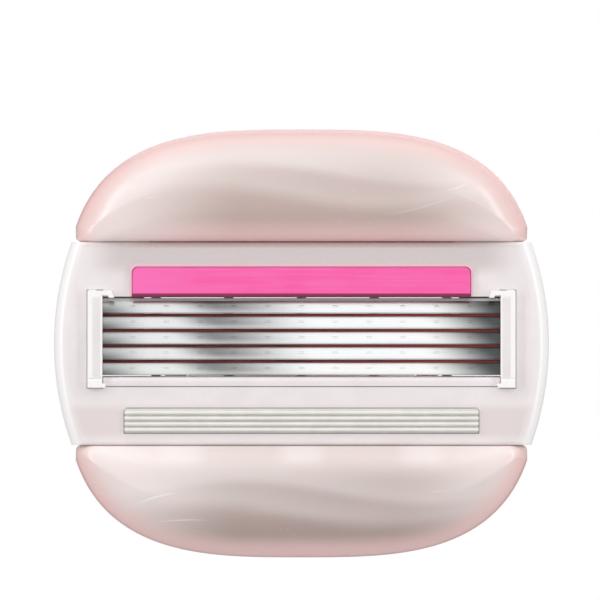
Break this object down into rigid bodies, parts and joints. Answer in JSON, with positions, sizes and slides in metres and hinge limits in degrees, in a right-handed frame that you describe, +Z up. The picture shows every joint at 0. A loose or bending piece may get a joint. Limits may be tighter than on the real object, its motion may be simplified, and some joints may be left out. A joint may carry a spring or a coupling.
{
  "type": "razor cartridge",
  "caption": "Five-blade shaving cartridge with a pink lubricating strip, ribbed guard strip and two domed gel bars on sprung wings, on a pivoting handle connector.",
  "frame": {"origin": "middle of the docking socket's rear rim, where the handle meets the connector", "axes": "+X along the blades, to the right when looking at the shaving face; +Y out of the docking socket towards the handle, so the shaving face looks towards -Y; +Z up, towards the lubricating strip"},
  "size_m": [0.042, 0.0174, 0.0364],
  "materials": {
    "pearl_plastic": "satin pearl",
    "pink_lubricant": "waxy satin",
    "guard_elastomer": "matte",
    "blade_steel": "polished and ground",
    "support_steel": "rolled strip",
    "pink_gel": "translucent pearl",
    "hinge_elastomer": "soft satin"
  },
  "bodies": {
    "handle_connector": {"connector": "pearl_plastic"},
    "head": {"outer_frame": "pearl_plastic", "blade_housing": "pearl_plastic", "lubricating_strip": "pink_lubricant", "guard_strip": "guard_elastomer", "clip_left": "pearl_plastic", "clip_right": "pearl_plastic", "spring_fingers_1": "pearl_plastic", "spring_fingers_2": "pearl_plastic", "spring_fingers_3": "pearl_plastic", "spring_fingers_4": "pearl_plastic", "spring_fingers_5": "pearl_plastic", "upper_hinge_band": "hinge_elastomer", "lower_hinge_band": "hinge_elastomer"},
    "upper_wing": {"upper_wing_carrier": "pearl_plastic", "upper_gel_bar": "pink_gel"},
    "lower_wing": {"lower_wing_carrier": "pearl_plastic", "lower_gel_bar": "pink_gel"},
    "blade_unit_1": {"blade_1": "blade_steel", "blade_support_1": "support_steel"},
    "blade_unit_2": {"blade_2": "blade_steel", "blade_support_2": "support_steel"},
    "blade_unit_3": {"blade_3": "blade_steel", "blade_support_3": "support_steel"},
    "blade_unit_4": {"blade_4": "blade_steel", "blade_support_4": "support_steel"},
    "blade_unit_5": {"blade_5": "blade_steel", "blade_support_5": "support_steel"}
  },
  "joints": [
    {"name": "head_pivot", "type": "hinge", "parent": "handle_connector", "child": "head", "pos_m": [0, -0.0091, -0.001], "axis": [1, 0, 0], "range_deg": [-45, 0]},
    {"name": "upper_wing_flex", "type": "hinge", "parent": "head", "child": "upper_wing", "pos_m": [0, -0.0114, 0.01165], "axis": [1, 0, 0], "range_deg": [-15, 0], "stiffness_Nm_per_rad": 0.01, "springref_deg": 5, "deforming": ["upper_hinge_band"]},
    {"name": "lower_wing_flex", "type": "hinge", "parent": "head", "child": "lower_wing", "pos_m": [0, -0.0114, -0.00565], "axis": [1, 0, 0], "range_deg": [0, 15], "stiffness_Nm_per_rad": 0.01, "springref_deg": -5, "deforming": ["lower_hinge_band"]},
    {"name": "blade_1_float", "type": "slide", "parent": "head", "child": "blade_unit_1", "axis": [0, 1, 0], "range_m": [0, 0.0002], "stiffness_N_per_m": 500, "springref_m": -0.0002, "deforming": ["spring_fingers_1"]},
    {"name": "blade_2_float", "type": "slide", "parent": "head", "child": "blade_unit_2", "axis": [0, 1, 0], "range_m": [0, 0.0002], "stiffness_N_per_m": 500, "springref_m": -0.0002, "deforming": ["spring_fingers_2"]},
    {"name": "blade_3_float", "type": "slide", "parent": "head", "child": "blade_unit_3", "axis": [0, 1, 0], "range_m": [0, 0.0002], "stiffness_N_per_m": 500, "springref_m": -0.0002, "deforming": ["spring_fingers_3"]},
    {"name": "blade_4_float", "type": "slide", "parent": "head", "child": "blade_unit_4", "axis": [0, 1, 0], "range_m": [0, 0.0002], "stiffness_N_per_m": 500, "springref_m": -0.0002, "deforming": ["spring_fingers_4"]},
    {"name": "blade_5_float", "type": "slide", "parent": "head", "child": "blade_unit_5", "axis": [0, 1, 0], "range_m": [0, 0.0002], "stiffness_N_per_m": 500, "springref_m": -0.0002, "deforming": ["spring_fingers_5"]}
  ]
}
